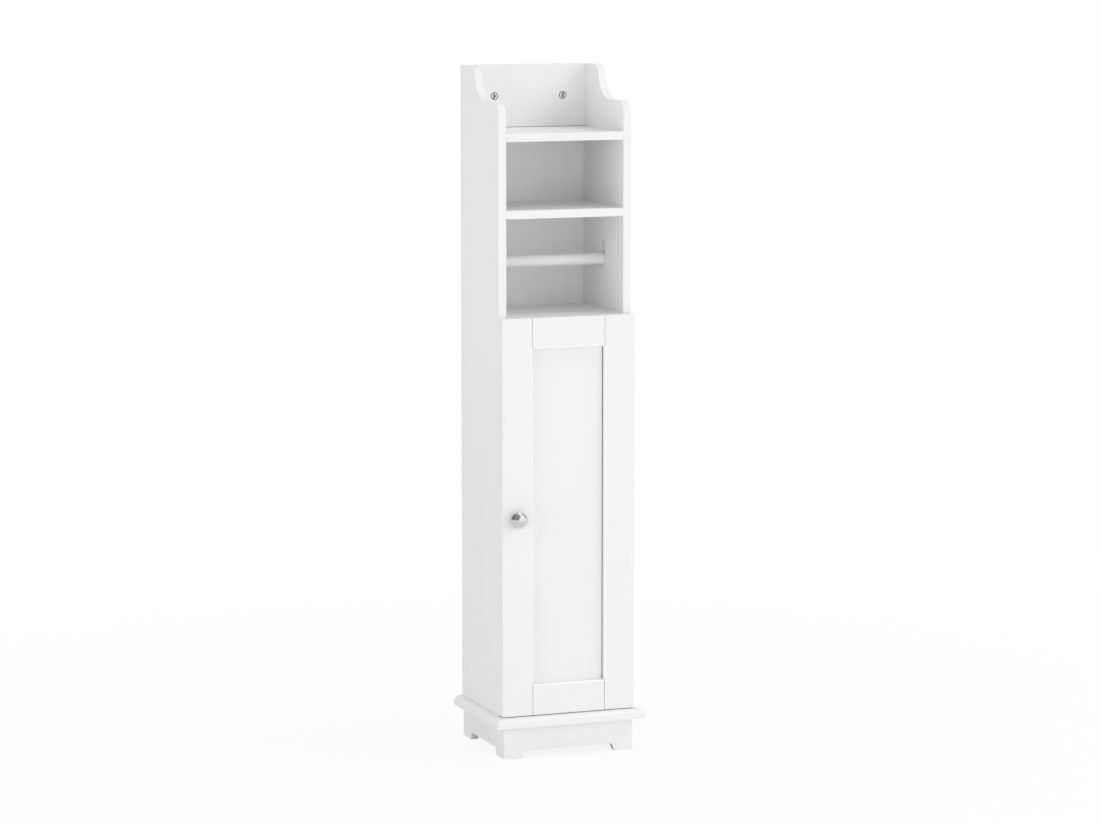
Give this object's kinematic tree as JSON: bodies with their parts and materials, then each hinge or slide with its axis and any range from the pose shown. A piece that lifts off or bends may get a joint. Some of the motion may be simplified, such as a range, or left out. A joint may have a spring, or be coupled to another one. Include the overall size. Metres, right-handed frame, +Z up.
{
  "type": "toilet roll storage cabinet",
  "caption": "Slim free-standing bathroom cabinet with a scalloped open tray, open bays, a lift-out roll bar and a framed door on concealed hinges, on a moulded plinth with bracket feet.",
  "frame": {"origin": "on the floor, in the middle of the whole width and depth, knob included", "axes": "+X to the right as seen from the front, +Y to the back, +Z up"},
  "size_m": [0.2296, 0.202, 1],
  "materials": {
    "white_paint": "smooth satin white paint on board",
    "satin_nickel": "brushed satin nickel",
    "bright_nickel": "bright nickel plate on pressed steel",
    "zinc_plate": "dull zinc plate",
    "beech": "bare planed beech",
    "felt": "white felt"
  },
  "bodies": {
    "cabinet": {"side_panel_left": "white_paint", "side_panel_right": "white_paint", "tray_back": "white_paint", "back_board": "white_paint", "back_nails": "zinc_plate", "tray_shelf": "white_paint", "middle_shelf": "white_paint", "cabinet_top": "white_paint", "cabinet_bottom": "white_paint", "inner_shelf": "white_paint", "shelf_pins": "bright_nickel", "wood_dowels": "beech", "cam_bolts": "zinc_plate", "cam_locks": "zinc_plate", "lower_hinge_arm": "bright_nickel", "upper_hinge_arm": "bright_nickel", "arm_pins": "bright_nickel", "arm_screws": "zinc_plate", "lower_mounting_plate": "bright_nickel", "upper_mounting_plate": "bright_nickel", "plate_screws": "zinc_plate", "plinth_board": "white_paint", "apron_front": "white_paint", "apron_left": "white_paint", "apron_right": "white_paint", "apron_back": "white_paint", "corner_blocks": "beech", "plinth_screws": "zinc_plate", "block_screws": "zinc_plate"},
    "door": {"door_stile_left": "white_paint", "door_stile_right": "white_paint", "door_rail_top": "white_paint", "door_rail_bottom": "white_paint", "door_panel": "white_paint", "door_dowels": "beech", "knob": "satin_nickel", "knob_screw": "zinc_plate", "bumper_pads": "felt", "lower_hinge_cup": "bright_nickel", "upper_hinge_cup": "bright_nickel", "cup_screws": "zinc_plate", "cup_pins": "bright_nickel"},
    "outer_links": {"lower_outer_link": "zinc_plate", "upper_outer_link": "zinc_plate"},
    "inner_links": {"lower_inner_link": "zinc_plate", "upper_inner_link": "zinc_plate"},
    "roll_bar": {"roll_bar": "white_paint"}
  },
  "joints": [
    {"name": "outer_link_turn", "type": "hinge", "parent": "cabinet", "child": "outer_links", "pos_m": [0.074, -0.0545, 0.3535], "axis": [0, 0, 1], "range_deg": [-27.6, 0]},
    {"name": "door_swing", "type": "hinge", "parent": "outer_links", "child": "door", "pos_m": [0.094, -0.068, 0.3535], "axis": [0, 0, 1], "range_deg": [0, 117.5]},
    {"name": "inner_link_turn", "type": "hinge", "parent": "door", "child": "inner_links", "pos_m": [0.095, -0.0718, 0.3535], "axis": [0, 0, 1], "range_deg": [-101.6, 0]},
    {"name": "roll_bar_lift", "type": "slide", "parent": "cabinet", "child": "roll_bar", "axis": [0, 0, 1], "range_m": [0, 0.019]}
  ],
  "couplings": [
    {"joint": "outer_link_turn", "follows": "door_swing", "ratio": -0.2343},
    {"joint": "inner_link_turn", "follows": "door_swing", "ratio": -0.8637}
  ]
}
